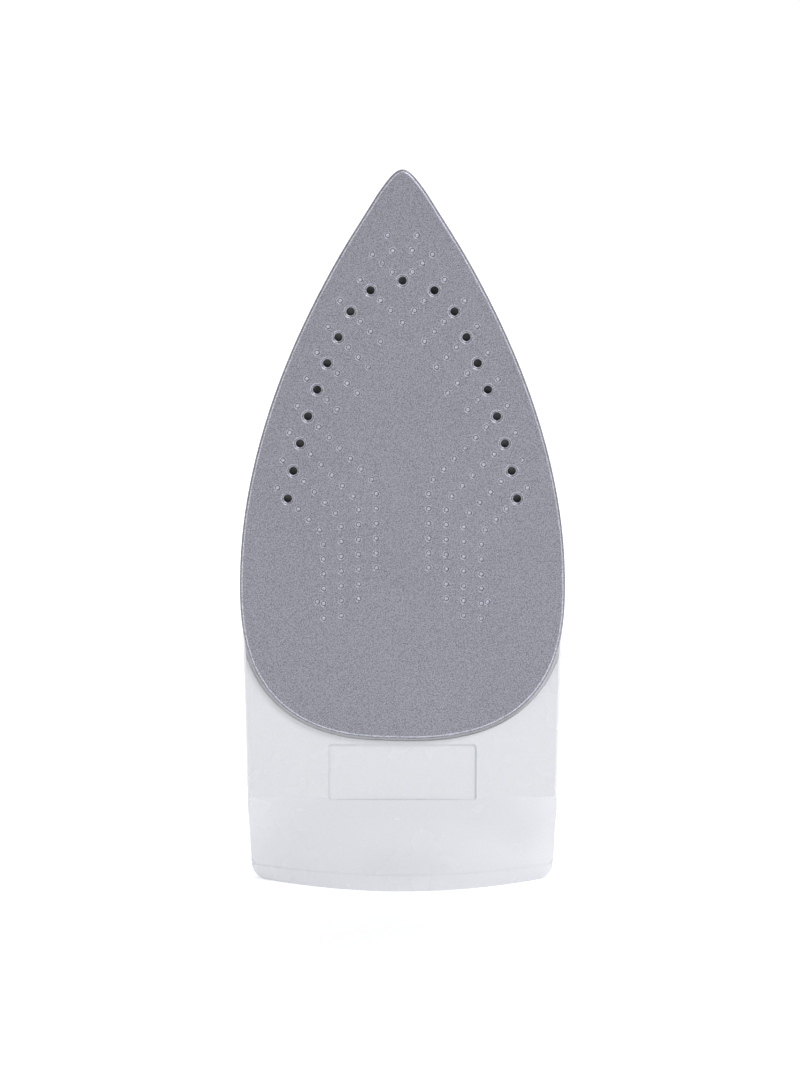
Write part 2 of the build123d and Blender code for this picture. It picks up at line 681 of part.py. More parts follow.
def pump_body(side):
    x = side * PUMP_X
    barrel = pipe(x, PUMP_Z, 6.3, 5.0, 90, 106) + rod(x, PUMP_Z, 6.3, 88, 90)
    return barrel - rod(side * SUCTION_X, PUMP_Z, 1.0, 80, 91) - rod(side * DELIVERY_X, PUMP_Z, 1.0, 80, 91)


def piston(side):
    x = side * PUMP_X
    return rod(x, PUMP_Z, 4.9, 102, 105.4) + rod(x, PUMP_Z, 1.8, 105.4, 114.5)


def pump_spring(side):
    turns, pitch, wire_r = 5, 1.9, 0.4
    helix = Helix(pitch, turns * pitch, 3.6)
    profile = Plane(origin=helix @ 0, z_dir=helix % 0) * Circle(wire_r)
    coil = sweep(profile, path=helix)
    return Pos(side * PUMP_X, SOLE_Y + 91.5, PUMP_Z) * Rot(-90, 0, 0) * coil


def suction_tubes():
    return Compound([pipe(x, PUMP_Z, 1.7, 1.0, 27, 88) for x in (-SUCTION_X, SUCTION_X)])


def steam_delivery_tube():
    return pipe(DELIVERY_X, PUMP_Z, 1.7, 1.0, CHAMBER_TOP + 1.3, 88)


def spray_delivery_tube():
    x = -DELIVERY_X
    return wire_tube([(x, 88, PUMP_Z), (x, NOZZLE_D, PUMP_Z), (x, NOZZLE_D, 201),
                      (-3.4, NOZZLE_D, 206)], [4, 3], 1.6)


def spray_nozzle():
    body = bar_z(0, NOZZLE_D, 5.5, 5.5, 207, NOZZLE_Z) + bar_z(0, NOZZLE_D, 7.0, 7.0, NOZZLE_Z, NOZZLE_Z + 1.4)
    body += bar_z(0, NOZZLE_D, 6.2, 4.2, NOZZLE_Z + 1.4, NOZZLE_Z + 5.3)
    body -= bar_z(0, NOZZLE_D, 0.5, 0.5, 200, 225)
    return body - bar_z(0, NOZZLE_D, 1.2, 2.6, NOZZLE_Z + 3.3, NOZZLE_Z + 5.4)


def steam_lever():
    hub = pipe(0, VALVE_Z, 5.2, 1.6, LEVER_D - 2, LEVER_D + 2)
    arm = block(-2.6, 2.6, LEVER_D - 2, LEVER_D + 2, VALVE_Z + 4, VALVE_Z + 16)
    knob = pipe(0, VALVE_Z, 21.5, 15.5, LEVER_D - 4.5, LEVER_D + 4.5)
    knob &= block(-6.5, 6.5, LEVER_D - 5, LEVER_D + 5, VALVE_Z + 8, VALVE_Z + 25)
    knob = fillet(knob.edges(), 1.2)
    return hub + arm + knob


def valve_rod():
    """The steam valve's needle and its long rod up to the lever."""
    needle = Pos(0, SOLE_Y + NEEDLE_D + 1.5, VALVE_Z) * Rot(-90, 0, 0) * Cone(0.7, 1.5, 3)
    shaft = rod(0, VALVE_Z, 1.5, NEEDLE_D + 3, 101)
    collar = rod(0, VALVE_Z, 3.0, 76, 78)
    return needle + shaft + collar


def valve_seat():
    """A silicone bush between the tank and the steam chamber, with a conical seat."""
    seat = rod(0, VALVE_Z, 3.9, 17.5, 22) + rod(0, VALVE_Z, 2.5, CHAMBER_TOP + 0.7, 17.5)
    seat -= rod(0, VALVE_Z, 0.8, 0, 30)
    return seat - Pos(0, SOLE_Y + 20.3, VALVE_Z) * Rot(-90, 0, 0) * Cone(0.8, 3.0, 3.6)


def valve_spring():
    turns, pitch = 4, 2.9
    helix = Helix(pitch, turns * pitch, 2.5)
    coil = sweep(Plane(origin=helix @ 0, z_dir=helix % 0) * Circle(0.35), path=helix)
    return Pos(0, SOLE_Y + 63.0, VALVE_Z) * Rot(-90, 0, 0) * coil


def temperature_dial():
    r, bottom, top = 20.0, 64.6, 74.0
    knob = rod(0, DIAL_Z, r, bottom, top)
    knob = fillet(knob.edges().group_by(Axis.Y)[-1], 1.6)
    flutes = []
    for k in range(30):
        turn = math.tau * k / 30
        flutes.append(rod((r + 0.6) * math.cos(turn), DIAL_Z + (r + 0.6) * math.sin(turn),
                          1.3, bottom + 1.8, top + 1))
    knob -= flutes
    knob -= rod(0, DIAL_Z, 15.2, top - 0.7, top + 1)
    knob -= rod(0, DIAL_Z, r - 2.2, bottom - 1, bottom + 5) - rod(0, DIAL_Z, 6, bottom - 2, bottom + 6)
    knob += block(-1.2, 1.2, top - 0.7, top - 0.1, DIAL_Z + 5, DIAL_Z + 14)
    bore = rod(0, DIAL_Z, 3.45, bottom - 1, 70.05) - block(-4, 4, 58, 72, DIAL_Z + 2.45, DIAL_Z + 6)
    return knob - bore


def deck_plate():
    face = hull_face(DECK_D, 1.6) & (Pos(0, 113) * RectangleRounded(60, 116, 12))
    plate = slab(face, DECK_D, DECK_D + 1.8)
    return plate - rod(0, DIAL_Z, 5.6, 50, 70)


def pilot_lens():
    lens = rod(0, LAMP_Z, 3.5, 127, 131.6)
    dome = Pos(0, SOLE_Y + 131.6 - 5.2, LAMP_Z) * Sphere(6.27)
    cap = dome & rod(0, LAMP_Z, 3.5, 131.6, 140)
    return lens + rod(0, LAMP_Z, 4.6, 126, 127) + cap


def pilot_lamp():
    glass = rod(0, LAMP_Z, 2.4, 113, 123)
    tip = Pos(0, SOLE_Y + 123, LAMP_Z) * Sphere(2.4)
    return glass + tip + rod(-1.2, LAMP_Z, 0.3, 109, 113) + rod(1.2, LAMP_Z, 0.3, 109, 113)


# ---- cord entry and wiring ----------------------------------------------------------
def cord_gland():
    """A drum that swivels across the handle, with the gland that the cord comes out of."""
    drum = bar_x(DRUM_Z, DRUM_D, DRUM_R, DRUM_HALF)
    dz, dd = gland_direction()
    out = Plane(origin=(0, SOLE_Y + DRUM_D, DRUM_Z), z_dir=(0, dd, dz))
    neck = extrude(out * Circle(6.0), 18) + extrude(out.offset(18) * Circle(6.0), 5, taper=8)
    pivots = bar_x(DRUM_Z, DRUM_D, 2.5, DRUM_HALF + 2.2)
    bore = extrude(out.offset(-20) * Circle(CORD_R), 60)
    return drum + neck + pivots - bore


def terminal_block():
    body = block(-15, 15, 38, 50, 14, 26)
    for x in TERMINAL_X:
        body -= rod(x, 20, 1.6, 36, 42)
        body -= bar_z(x, 45, 1.9, 1.9, 12, 20)
    return body


def terminal_screws():
    screws = []
    for x in TERMINAL_X:
        screw = bar_z(x, 45, 1.8, 1.8, 14.6, 18) - block(x - 2, x + 2, 44.7, 45.3, 14, 15.4)
        screws.append(screw)
    return Compound(screws)


def clamp_plane():
    """Centre of the cord clamp, with local z along the cord and local x along X."""
    dz, dd = gland_direction()
    middle = Plane(origin=(0, SOLE_Y + DRUM_D, DRUM_Z), x_dir=(1, 0, 0), z_dir=(0, dd, dz))
    return middle.offset(-CLAMP_REACH)


def cord_clamp():
    """Two jaws that grip the cord's sheath inside the handle's rear column."""
    jaws = extrude(clamp_plane() * (Rectangle(22, 13) - Circle(CORD_R + 0.2)), 3, both=True)
    jaws -= extrude(clamp_plane() * Rectangle(30, 0.8), 5, both=True)
    for x in (-8, 8):
        jaws -= clamp_plane() * Pos(x, 0, 0) * Rot(90, 0, 0) * Cylinder(1.3, 30)
    return jaws


def clamp_screws():
    screws = []
    for x in (-8, 8):
        place = clamp_plane() * Pos(x, 0, 0) * Rot(90, 0, 0)
        shank = place * Cylinder(1.25, 13)
        screws.append(shank + place * Pos(0, 0, 7.3) * Cylinder(2.4, 1.6))
    return Compound(screws)


def lead(terminal_x, end_x, end_d, end_z):
    """An insulated lead from the terminal block, under the tank, to the heater."""
    return wire_tube([(terminal_x, 38, 20), (terminal_x, 17.5, 20), (end_x, 17.5, 54),
                      (end_x, end_d, 59), (end_x, end_d, end_z)], [6, 8, 3], 1.2)


# ---- build --------------------------------------------------------------------------
def build():
    hull = hull_solid()
    hull_inside = hull_solid(WALL)
    hull_shell = hull - hull_inside
    handle = handle_loft() & block(-90, 90, -20, 160, 0, 300)
    handle_inside = handle_loft(-WALL) & block(-90, 90, -20, 160, WALL, 300)
    handle_shell = handle - hull - handle_inside
    return {
        "soleplate": soleplate(),
        "heater_casting": heater_casting(),
        "heating_element": heating_element(),
        "element_pins": element_pins(),
        "pin_insulators": pin_insulators(),
        "chamber_gasket": chamber_gasket(),
        "chamber_cover": chamber_cover(),
        "heat_shield": heat_shield(),
        "sole_screws": sole_screws(),
        "thermostat_bracket": thermostat_bracket(),
        "thermostat_bimetal": thermostat_bimetal(),
        "thermostat_ceramics": thermostat_ceramics(),
        "thermostat_leaves": thermostat_leaves(),
        "thermostat_rivet": thermostat_rivet(),
        "thermostat_stud": thermostat_stud(),
        "dial_shaft": dial_shaft(),
        "thermal_fuse": thermal_fuse(),
        "fuse_clip": fuse_clip(),
        "skirt": skirt(hull_shell, hull_inside),
        "tank_shell": tank_shell(hull_shell, hull_inside, hull),
        "tank_floor": tank_floor(hull_solid(WALL + 0.1, bow=False)),
        "rear_housing": rear_housing(hull_shell, hull_inside),
        "heel_cover": heel_cover(hull_shell, handle_shell, handle),
        "heel_screws": heel_screws(),
        "handle_upper": handle_upper(handle_shell),
        "handle_lower": handle_lower(handle_shell),
        "fill_door": fill_door(hull_shell),
        "door_pin": door_pin(),
        "spray_button": button(-1, handle_loft(1.5), handle_loft(-WALL)),
        "steam_button": button(1, handle_loft(1.5), handle_loft(-WALL)),
        "spray_pump": pump_body(-1),
        "steam_pump": pump_body(1),
        "spray_piston": piston(-1),
        "steam_piston": piston(1),
        "spray_spring": pump_spring(-1),
        "steam_spring": pump_spring(1),
        "suction_tubes": suction_tubes(),
        "steam_delivery_tube": steam_delivery_tube(),
        "spray_delivery_tube": spray_delivery_tube(),
        "spray_nozzle": spray_nozzle(),
        "steam_lever": steam_lever(),
        "valve_rod": valve_rod(),
        "valve_seat": valve_seat(),
        "valve_spring": valve_spring(),
        "temperature_dial": temperature_dial(),
        "deck_plate": deck_plate(),
        "pilot_lens": pilot_lens(),
        "pilot_lamp": pilot_lamp(),
        "cord_gland": cord_gland(),
        "terminal_block": terminal_block(),
        "terminal_screws": terminal_screws(),
        "cord_clamp": cord_clamp(),
        "clamp_screws": clamp_screws(),
        "neutral_lead": lead(-9.5, -9.1, ELEMENT_D, 65.5),
        "earth_lead": lead(0.0, 0.0, 11.0, 70),
        "live_lead": lead(9.5, 9.1, ELEMENT_D, 65.5),
    }


os.makedirs("parts", exist_ok=True)
for name, shape in build().items():
    export_step(shape, f"parts/{name}.step")
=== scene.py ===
import json
import math

import bpy
from mathutils import Matrix, Vector
from mathutils.bvhtree import BVHTree


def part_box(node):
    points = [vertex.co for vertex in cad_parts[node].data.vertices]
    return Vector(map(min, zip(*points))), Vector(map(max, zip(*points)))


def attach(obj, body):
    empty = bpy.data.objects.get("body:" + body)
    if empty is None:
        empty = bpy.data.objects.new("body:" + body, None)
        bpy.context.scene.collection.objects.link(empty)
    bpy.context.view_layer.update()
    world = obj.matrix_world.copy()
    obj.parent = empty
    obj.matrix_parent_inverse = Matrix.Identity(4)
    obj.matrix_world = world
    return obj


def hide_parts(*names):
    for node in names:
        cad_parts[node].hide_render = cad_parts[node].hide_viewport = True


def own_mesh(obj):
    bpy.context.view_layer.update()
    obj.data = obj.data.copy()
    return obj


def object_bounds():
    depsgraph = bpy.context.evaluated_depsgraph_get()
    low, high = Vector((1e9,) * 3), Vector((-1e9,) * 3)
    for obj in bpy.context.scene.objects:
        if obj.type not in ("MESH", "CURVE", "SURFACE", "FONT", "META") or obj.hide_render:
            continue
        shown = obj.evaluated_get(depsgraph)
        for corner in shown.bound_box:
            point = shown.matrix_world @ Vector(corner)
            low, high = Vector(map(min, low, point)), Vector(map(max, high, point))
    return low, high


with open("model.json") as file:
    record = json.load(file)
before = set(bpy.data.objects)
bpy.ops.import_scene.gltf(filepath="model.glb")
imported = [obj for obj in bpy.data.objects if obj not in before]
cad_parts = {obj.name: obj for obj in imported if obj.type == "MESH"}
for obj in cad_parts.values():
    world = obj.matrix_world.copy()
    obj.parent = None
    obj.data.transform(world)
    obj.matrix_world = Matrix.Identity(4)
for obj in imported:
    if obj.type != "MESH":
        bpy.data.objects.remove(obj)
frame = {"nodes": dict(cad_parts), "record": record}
CAD_LOW, CAD_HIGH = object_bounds()
NODES = frame["nodes"]

# Everything is in metres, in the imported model's frame: the iron stands on its heel, with
# its soleplate facing -Y and its tip up.
SOLE_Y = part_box("soleplate")[0].y
HEEL_Z = CAD_LOW.z
WORLD_STRENGTH = 0.35
BACKDROP_GLOW = 0.31
MARK_RISE = 0.00012              # how far a printed mark stands out of its surface


# ---- small helpers for shader graphs --------------------------------------------------
class Graph:
    """A material's node tree, with the few steps that every material here repeats."""

    def __init__(self, name):
        self.material = bpy.data.materials.new(name)
        self.material.use_nodes = True
        self.tree = self.material.node_tree
        self.shader = self.tree.nodes["Principled BSDF"]
        self.coordinates = self.add("ShaderNodeTexCoord")
        self.place = self.coordinates.outputs["Object"]

    def add(self, kind, **settings):
        """A new node; a setting is one of its properties, or the value of the input of that name."""
        node = self.tree.nodes.new(kind)
        for key, value in settings.items():
            if hasattr(node, key):
                setattr(node, key, value)
            else:
                node.inputs[key.replace("_", " ").title()].default_value = value
        return node

    def link(self, source, target):
        self.tree.links.new(source, target)

    def set(self, **values):
        """Plain values on the shader's own sockets."""
        for key, value in values.items():
            self.shader.inputs[key.replace("_", " ")].default_value = value

    def noise(self, per_metre, detail=2.0, stretch=(1, 1, 1)):
        """Cloudy noise from 0 to 1, with per_metre features in each metre."""
        mapping = self.add("ShaderNodeMapping")
        mapping.inputs["Scale"].default_value = stretch
        self.link(self.place, mapping.inputs["Vector"])
        node = self.add("ShaderNodeTexNoise", scale=per_metre, detail=detail)
        self.link(mapping.outputs["Vector"], node.inputs["Vector"])
        return node.outputs["Fac"]

    def cells(self, per_metre):
        """Distance from the middle of the nearest of many small cells."""
        node = self.add("ShaderNodeTexVoronoi", scale=per_metre)
        self.link(self.place, node.inputs["Vector"])
        return node.outputs["Distance"]

    def depth(self, start, reach):
        """0 at y = start, rising to 1 at a distance of reach in +Y."""
        split = self.add("ShaderNodeSeparateXYZ")
        self.link(self.place, split.inputs["Vector"])
        node = self.add("ShaderNodeMapRange")
        node.inputs["From Min"].default_value = start
        node.inputs["From Max"].default_value = start + reach
        self.link(split.outputs["Y"], node.inputs["Value"])
        return node.outputs["Result"]

    def ramp(self, factor, *stops):
        """Colour or grey by position along factor; a stop is (position, value)."""
        node = self.add("ShaderNodeValToRGB")
        elements = node.color_ramp.elements
        for element, (position, value) in zip(elements, (stops[0], stops[-1])):
            element.position = position
            element.color = colour4(value)
        for position, value in stops[1:-1]:
            elements.new(position).color = colour4(value)
        self.link(factor, node.inputs["Fac"])
        return node.outputs["Color"]

    def multiply(self, a, b):
        """One colour times another."""
        node = self.add("ShaderNodeMix")
        node.data_type = "RGBA"
        node.blend_type = "MULTIPLY"
        factor, first, second = node.inputs[0], node.inputs[6], node.inputs[7]
        factor.default_value = 1.0
        self.link(a, first)
        self.link(b, second)
        return node.outputs[2]

    def colour(self, output):
        self.link(output, self.shader.inputs["Base Color"])

    def roughness(self, output):
        self.link(output, self.shader.inputs["Roughness"])

    def bump(self, height, depth, strength=1.0):
        """Relief of depth metres from a height between 0 and 1."""
        node = self.add("ShaderNodeBump")
        node.inputs["Strength"].default_value = strength
        node.inputs["Distance"].default_value = depth
        self.link(height, node.inputs["Height"])
        self.link(node.outputs["Normal"], self.shader.inputs["Normal"])


def colour4(value):
    """A grey or a colour as four numbers, with full opacity."""
    if isinstance(value, (int, float)):
        return (value, value, value, 1.0)
    return tuple(value) + (1.0,)


def shade(colour, factor):
    """A colour made lighter or darker."""
    return tuple(min(1.0, c * factor) for c in colour)


# ---- materials ------------------------------------------------------------------------
def soleplate_coating():
    """Satin grey ceramic coating: fine pale and dark flecks over a slightly uneven ground.

    The colour is also made paler or darker by depth behind the working face, as painted light
    and shade: painted highlights at a rim and at a dimple's bottom, painted shade between them
    and deeper down in the holes.  The small relief alone hardly shows under soft light.
    """
    g = Graph("soleplate_coating")
    ground = g.ramp(g.noise(22, 3), (0.3, (0.296, 0.298, 0.346)), (0.7, (0.310, 0.314, 0.362)))
    fleck = g.ramp(g.cells(2400), (0.08, 1.50), (0.45, 1.0), (0.85, 0.58))
    ground = g.multiply(ground, fleck)
    # painted highlights and painted shade by depth, standing in for light on the rims, dimples and
    # holes
    painted_light_and_shade = g.ramp(g.depth(SOLE_Y, 0.001), (0.02, 1.0), (0.06, 2.0), (0.20, 1.60), (0.28, 0.55),
                  (0.42, 0.62), (0.50, 1.80), (0.60, 1.60), (0.70, 0.75), (1.0, 0.60))
    g.colour(g.multiply(ground, painted_light_and_shade))
    g.roughness(g.ramp(g.noise(1500, 2), (0.3, 0.36), (0.7, 0.50)))
    g.set(Metallic=0.35)
    g.bump(g.noise(2600, 2), 0.00002)
    return g.material


def moulded_plastic(name, colour, rough=0.3, grain=1400, depth=0.00001, coat=0.0):
    """Moulded plastic: faint colour drift, fine mottling and a fine surface grain."""
    g = Graph(name)
    drift = g.ramp(g.noise(9, 1), (0.3, shade(colour, 0.997)), (0.7, shade(colour, 1.003)))
    mottling = g.ramp(g.noise(1500, 2), (0.35, 0.985), (0.65, 1.015))
    g.colour(g.multiply(drift, mottling))
    g.roughness(g.ramp(g.noise(60, 2), (0.3, rough * 0.97), (0.7, rough * 1.03)))
    if coat:
        g.set(Coat_Weight=coat, Coat_Roughness=0.12)
    g.bump(g.noise(grain, 3), depth)
    return g.material


def soft_grip():
    """Soft-touch rubber with a fine pebbled grain, with painted light on the pebble tops and painted
    shade in the hollows between them.
    """
    g = Graph("soft_grip")
    tone = g.ramp(g.noise(30, 3), (0.3, (0.085, 0.095, 0.115)), (0.7, (0.105, 0.118, 0.140)))
    pebbles = g.cells(1500)
    # painted light and shade: the pebble tops are lighter and the hollows between them darker
    g.colour(g.multiply(tone, g.ramp(pebbles, (0.1, 1.12), (0.7, 0.82))))
    g.roughness(g.ramp(g.noise(200, 3), (0.3, 0.56), (0.7, 0.70)))
    g.bump(g.ramp(pebbles, (0.05, 1.0), (0.75, 0.0)), 0.00012, 0.6)
    return g.material


def tinted_tank():
    """Translucent blue plastic of the water tank, a little cloudy inside."""
    g = Graph("tinted_tank")
    g.colour(g.ramp(g.noise(18, 2), (0.3, (0.36, 0.58, 0.80)), (0.7, (0.42, 0.63, 0.84))))
    g.roughness(g.ramp(g.noise(220, 3), (0.3, 0.10), (0.7, 0.20)))
    g.set(Transmission_Weight=0.55, IOR=1.49)
    g.bump(g.noise(900, 2), 0.000008)
    return g.material


def clear_lens(name, colour, rough=0.08):
    """Clear moulded plastic or glass, with a finely faceted surface."""
    g = Graph(name)
    g.colour(g.ramp(g.noise(300, 2), (0.3, shade(colour, 0.94)), (0.7, colour)))
    g.roughness(g.ramp(g.noise(500, 2), (0.3, rough), (0.7, rough * 1.6)))
    g.set(Transmission_Weight=0.7, IOR=1.49)
    g.bump(g.cells(1800), 0.00003, 0.4)
    return g.material


def metal(name, colour, rough, grain, depth, stretch=(1, 1, 1)):
    """Bare metal with a grain, which stretch draws out along the way it was worked."""
    g = Graph(name)
    grain_out = g.noise(grain, 4, stretch)
    g.colour(g.ramp(grain_out, (0.3, shade(colour, 0.86)), (0.7, shade(colour, 1.08))))
    g.roughness(g.ramp(g.noise(180, 3), (0.3, rough * 0.8), (0.7, rough * 1.2)))
    g.set(Metallic=1.0)
    g.bump(grain_out, depth)
    return g.material


def cast_alloy():
    """Sand-grey cast aluminium, dulled by heat."""
    g = Graph("cast_alloy")
    patches = g.ramp(g.noise(90, 5), (0.35, (0.20, 0.20, 0.20)), (0.65, (0.30, 0.30, 0.29)))
    g.colour(patches)
    g.roughness(g.ramp(g.noise(400, 3), (0.3, 0.52), (0.7, 0.72)))
    g.set(Metallic=0.9)
    g.bump(g.noise(1300, 5), 0.00008)
    return g.material


def make_materials():
    """One material for each of the record's material slots."""
    shell = (0.712, 0.726, 0.762)
    return {
        "sole_coating": soleplate_coating(),
        "white_shell": moulded_plastic("white_shell", shell, 0.27, coat=0.25),
        "tank_tint": tinted_tank(),
        "grip": soft_grip(),
        "control_grey": moulded_plastic("control_grey", (0.12, 0.17, 0.24), 0.34, coat=0.1),
        "lens": clear_lens("pilot_lens_red", (0.85, 0.12, 0.04)),
        "lamp_glass": clear_lens("lamp_glass", (0.90, 0.72, 0.60), 0.04),
        "cast_alloy": cast_alloy(),
        "element_steel": metal("element_steel", (0.30, 0.29, 0.28), 0.45, 700, 0.00002),
        "plated_steel": metal("plated_steel", (0.58, 0.58, 0.56), 0.30, 900, 0.00001),
        "sheet_aluminium": metal("sheet_aluminium", (0.72, 0.73, 0.74), 0.28, 300, 0.00001,
                                 stretch=(1, 1, 12)),
        "ceramic": moulded_plastic("ceramic", (0.78, 0.76, 0.70), 0.65, 800, 0.00003),
        "silicone": moulded_plastic("silicone", (0.62, 0.58, 0.53), 0.60, 500, 0.00002),
        "contact_brass": metal("contact_brass", (0.70, 0.50, 0.22), 0.25, 800, 0.00001),
        "nylon": moulded_plastic("nylon", (0.72, 0.71, 0.66), 0.48, 700, 0.00002),
        "lead_brown": moulded_plastic("lead_brown", (0.13, 0.06, 0.03), 0.45, 600, 0.00001),
        "lead_blue": moulded_plastic("lead_blue", (0.03, 0.10, 0.34), 0.45, 600, 0.00001),
        "lead_green": moulded_plastic("lead_green", (0.10, 0.32, 0.06), 0.45, 600, 0.00001),
    }


def dress_cad_nodes(materials):
    """Gives every CAD node the material of its slot."""
    for row in frame["record"]["subparts"]:
        node = NODES[row["node"]]
        node.data.materials.clear()
        node.data.materials.append(materials[row["material_slot"]])


# ---- small pieces that the CAD leaves to the looks -----------------------------------
def surface_point(node, start, direction):
    """Where a ray meets a CAD node, and the surface's normal there."""
    tree = BVHTree.FromObject(NODES[node], bpy.context.evaluated_depsgraph_get())
    place, normal, _, _ = tree.ray_cast(Vector(start), Vector(direction))
    return place, normal


def make_piece(name, verts, faces, body, slot_name, materials):
    """A mesh piece that rides on a CAD body and takes its finish from a slot."""
    mesh = bpy.data.meshes.new(name)
    mesh.from_pydata(verts, [], faces)
    mesh.polygons.foreach_set("use_smooth", [True] * len(faces))
    mesh.materials.append(materials[slot_name])
    piece = bpy.data.objects.new(name, mesh)
    bpy.context.scene.collection.objects.link(piece)
    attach(piece, body)
    return piece


def domes(spots):
    """Low oval domes; a spot is (place, surface normal, long axis, half length, half width)."""
    around = 16
    rings = ((1.0, -0.5), (1.0, 0.3), (0.75, 0.85))      # (reach, rise) as shares of the dome
    verts, faces = [], []
    for place, normal, axis, half_long, half_wide in spots:
        along = (axis - normal * axis.dot(normal)).normalized()
        turn = Matrix((along, normal.cross(along), normal)).transposed()
        first = len(verts)
        for reach, rise in rings:
            for k in range(around):
                angle = math.tau * k / around
                local = Vector((half_long * reach * math.cos(angle),
                                half_wide * reach * math.sin(angle),
                                MARK_RISE * rise))
                verts.append(place + turn @ local)
        verts.append(place + normal * MARK_RISE)
        for ring in range(len(rings) - 1):
            start = first + ring * around
            for k in range(around):
                here, after = start + k, start + (k + 1) % around
                faces.append((here, after, after + around, here + around))
        rim, top = first + 2 * around, first + 3 * around
        for k in range(around):
            faces.append((rim + k, rim + (k + 1) % around, top))
        faces.append([first + k for k in reversed(range(around))])
    return verts, faces


def make_dial_marks(materials):
    """Groups of one, two and three dots on the dial's face, for its three ranges of heat."""
    low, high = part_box("temperature_dial")
    centre, radius = (low + high) / 2, 0.0122
    above, pitch, dot = 0.01, 14, 0.0008
    spots = []
    for count, middle in ((1, 10), (2, 280), (3, 190)):
        for k in range(count):
            angle = math.radians(middle + (k - (count - 1) / 2) * pitch)
            start = (centre.x + radius * math.cos(angle),
                     high.y + above,
                     centre.z + radius * math.sin(angle))
            place, normal = surface_point("temperature_dial", start, (0, -1, 0))
            spots.append((place, normal, Vector((1, 0, 0)), dot, dot))
    make_piece("dial_marks", *domes(spots), "temperature_dial", "white_shell", materials)


def make_button_marks(materials):
    """Six dots in a fan on the spray button, and three bars on the steam button."""
    fan = [(0, -0.004), (-0.002, 0), (0.002, 0), (-0.003, 0.004), (0, 0.004), (0.003, 0.004)]
    bars = [(-0.003, 0), (0, 0), (0.003, 0)]
    above, half_wide = 0.01, 0.0006
    for node, places, half_long in (("spray_button", fan, 0.0006), ("steam_button", bars, 0.0030)):
        low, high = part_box(node)
        centre = (low + high) / 2
        spots = []
        for x, z in places:
            start = (centre.x + x, high.y + above, centre.z + z)
            place, normal = surface_point(node, start, (0, -1, 0))
            spots.append((place, normal, Vector((0, 0, 1)), half_long, half_wide))
        make_piece(node + "_marks", *domes(spots), node, "white_shell", materials)


def make_level_marks(materials):
    """Short bars up both sides of the tank, with a long one at its highest filling."""
    low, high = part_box("tank_shell")
    depth, beside = SOLE_Y + 0.040, 0.01
    count, lowest, pitch = 5, 0.022, 0.014
    short, long, half_wide = 0.0030, 0.0060, 0.0004
    spots = []
    for side in (-1, 1):
        for k in range(count):
            start = (side * (high.x + beside), depth, low.z + lowest + pitch * k)
            place, normal = surface_point("tank_shell", start, (-side, 0, 0))
            half_long = long if k == count - 1 else short
            spots.append((place, normal, Vector((0, 1, 0)), half_long, half_wide))
    make_piece("level_marks", *domes(spots), "iron", "control_grey", materials)


def make_heel_gap_painted_light(materials):
    """A pale strip set just inside the parting gap between the skirt and the heel cover, as painted
    light that lightens the gap, which would otherwise show dark.
    """
    # The gap follows the heel's bowed front: its depth at the middle, and its bow at half_width.
    middle, bow, half_width = 0.0066, 0.0250, 0.0582
    split_z, half_height = 0.0060, 0.0005
    reach, set_back, thick = 0.0558, 0.0003, 0.0010
    steps = 36
    verts, faces = [], []
    for k in range(steps + 1):
        x = reach * (2 * k / steps - 1)
        front = SOLE_Y + middle + bow * (x / half_width) ** 2 + set_back
        rear = front + thick
        low, high = split_z - half_height, split_z + half_height
        verts += [(x, front, low), (x, front, high), (x, rear, high), (x, rear, low)]
    for k in range(steps):
        for j in range(4):
            a, b = 4 * k + j, 4 * k + (j + 1) % 4
            faces.append((a, b, b + 4, a + 4))
    faces += [(3, 2, 1, 0), tuple(4 * steps + j for j in range(4))]
    # painted light: a strip in the white shell's finish that fills the shade of the parting gap
    piece = make_piece("heel_gap_painted_light", verts, faces, "iron", "white_shell", materials)
    piece.data.polygons.foreach_set("use_smooth", [False] * len(faces))


def coil_mesh(centre, base_y, rise, coil, wire, turns):
    """A helix of round wire along +Y, with its first turn at base_y."""
    steps, around = 24, 8
    verts, faces = [], []
    for k in range(turns * steps + 1):
        turn = math.tau * k / steps
        outward = Vector((math.cos(turn), 0, math.sin(turn)))
        middle = Vector((centre.x, base_y + rise * k / (turns * steps), centre.z)) + outward * coil
        for j in range(around):
            angle = math.tau * j / around
            verts.append(middle + wire * (math.cos(angle) * outward
                                          + math.sin(angle) * Vector((0, 1, 0))))
    for k in range(turns * steps):
        for j in range(around):
            a, b = around * k + j, around * k + (j + 1) % around
            faces.append((a, b, b + around, a + around))
    last = around * turns * steps
    faces += [tuple(reversed(range(around))), tuple(range(last, last + around))]
    return verts, faces


def make_pump_springs(materials):
    """Coil springs under the two pump pistons, as long as the CAD spring nodes that they replace."""
    turns, wire, keep = 5, 0.0004, 0.60
    for name in ("spray", "steam"):
        low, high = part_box(name + "_spring")
        centre = (low + high) / 2
        coil = (high.x - low.x) / 2 - wire
        rise = high.y - low.y - 2 * wire
        verts, faces = coil_mesh(centre, low.y + wire, rise, coil, wire, turns)
        piece = make_piece(name + "_coil", verts, faces, "iron", "plated_steel", materials)
        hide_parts(name + "_spring")
        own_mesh(piece)


# ---- stage, light and camera ----------------------------------------------------------
def backdrop_paper():
    """White paper that glows a little, so that it burns out behind the iron."""
    g = Graph("backdrop_paper")
    g.colour(g.ramp(g.noise(3, 2), (0.3, 0.92), (0.7, 0.93)))
    g.set(Roughness=0.9, Emission_Color=(1.0, 1.0, 1.0, 1.0), Emission_Strength=BACKDROP_GLOW)
    return g.material


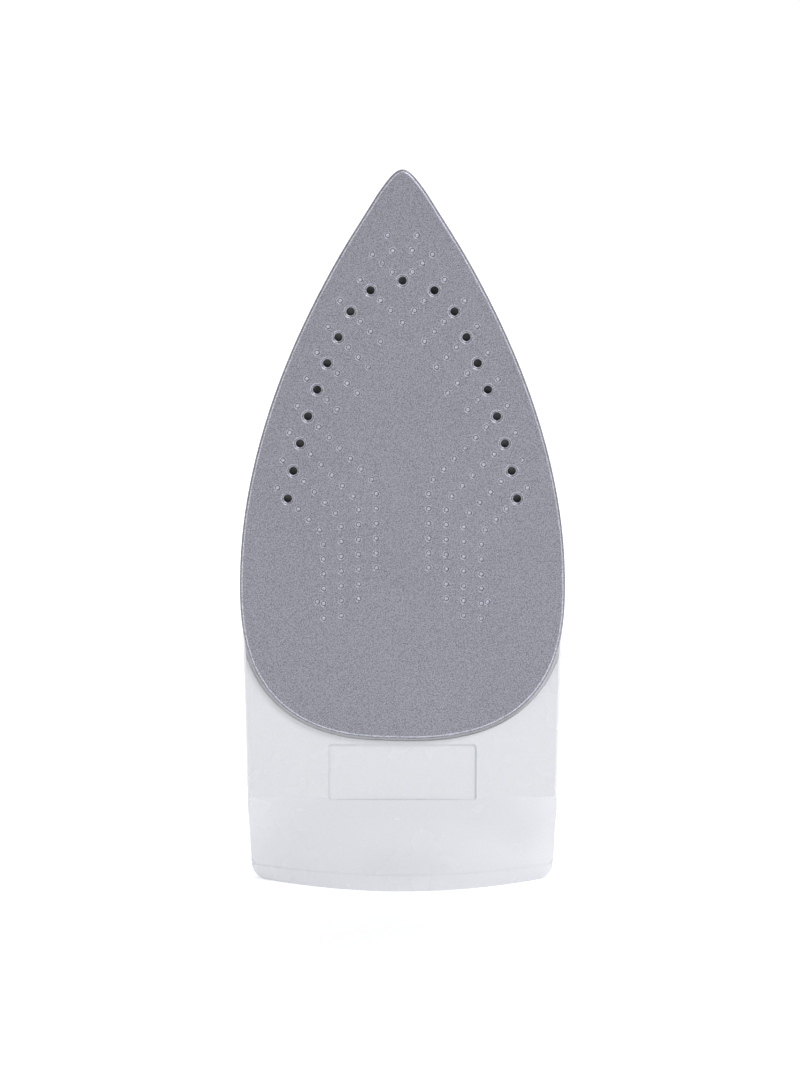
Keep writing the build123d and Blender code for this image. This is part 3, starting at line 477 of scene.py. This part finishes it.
def make_floor():
    """A pale floor that curves up into a backdrop well behind the iron."""
    half, front, back, height, bend, steps = 3.0, -3.0, 1.5, 3.0, 0.8, 12
    profile = [(front, 0.0), (back - bend, 0.0)]
    for k in range(1, steps + 1):
        turn = math.pi / 2 * k / steps
        profile.append((back - bend + bend * math.sin(turn), bend - bend * math.cos(turn)))
    profile.append((back, height))
    verts = [(x, y, HEEL_Z + z) for y, z in profile for x in (-half, half)]
    faces = [(2 * i, 2 * i + 1, 2 * i + 3, 2 * i + 2) for i in range(len(profile) - 1)]
    mesh = bpy.data.meshes.new("floor")
    mesh.from_pydata(verts, [], faces)
    mesh.polygons.foreach_set("use_smooth", [True] * len(faces))
    floor = bpy.data.objects.new("floor", mesh)
    bpy.context.scene.collection.objects.link(floor)
    mesh.materials.append(backdrop_paper())


def soft_light(name, place, aim, size, watts):
    """A rectangular light at place, turned to aim."""
    data = bpy.data.lights.new(name, "AREA")
    data.shape = "RECTANGLE"
    data.size, data.size_y = size
    data.energy = watts
    light = bpy.data.objects.new(name, data)
    light.location = place
    light.rotation_euler = (Vector(aim) - Vector(place)).to_track_quat("-Z", "Y").to_euler()
    bpy.context.scene.collection.objects.link(light)


def make_lights():
    """An even white room, a key light from the right, a fill from the left and one from behind."""
    world = bpy.data.worlds.new("studio")
    world.use_nodes = True
    background = world.node_tree.nodes["Background"]
    background.inputs["Color"].default_value = (1.0, 1.0, 1.0, 1.0)
    background.inputs["Strength"].default_value = WORLD_STRENGTH
    bpy.context.scene.world = world
    aim = (0, SOLE_Y, 0.12)
    soft_light("key", (0.75, -1.05, 1.25), aim, (0.45, 0.45), 12)
    soft_light("fill", (-1.1, -1.1, 0.55), aim, (1.2, 1.2), 3.2)
    soft_light("back", (0.2, 0.9, 1.0), (0, 0, 0.15), (1.0, 0.6), 8)


def make_camera():
    """A long lens in front of the soleplate, looking a little down on it."""
    elevation = math.radians(7.0)
    frame_height = 0.3856            # metres of the soleplate's plane that the picture spans
    distance = 1.6
    target = Vector((-0.0009, SOLE_Y, 0.1333))
    data = bpy.data.cameras.new("camera")
    data.sensor_width = 36.0
    data.lens = data.sensor_width * distance / frame_height
    data.clip_end = 20.0
    camera = bpy.data.objects.new("camera", data)
    back = Vector((0, -math.cos(elevation), math.sin(elevation)))
    camera.location = target + back * distance
    camera.rotation_euler = (-back).to_track_quat("-Z", "Y").to_euler()
    bpy.context.scene.collection.objects.link(camera)
    bpy.context.scene.camera = camera


bpy.context.scene.view_settings.view_transform = "Standard"
MATERIALS = make_materials()
dress_cad_nodes(MATERIALS)
make_dial_marks(MATERIALS)
make_button_marks(MATERIALS)
make_level_marks(MATERIALS)
make_heel_gap_painted_light(MATERIALS)
make_pump_springs(MATERIALS)
make_floor()
make_lights()
make_camera()
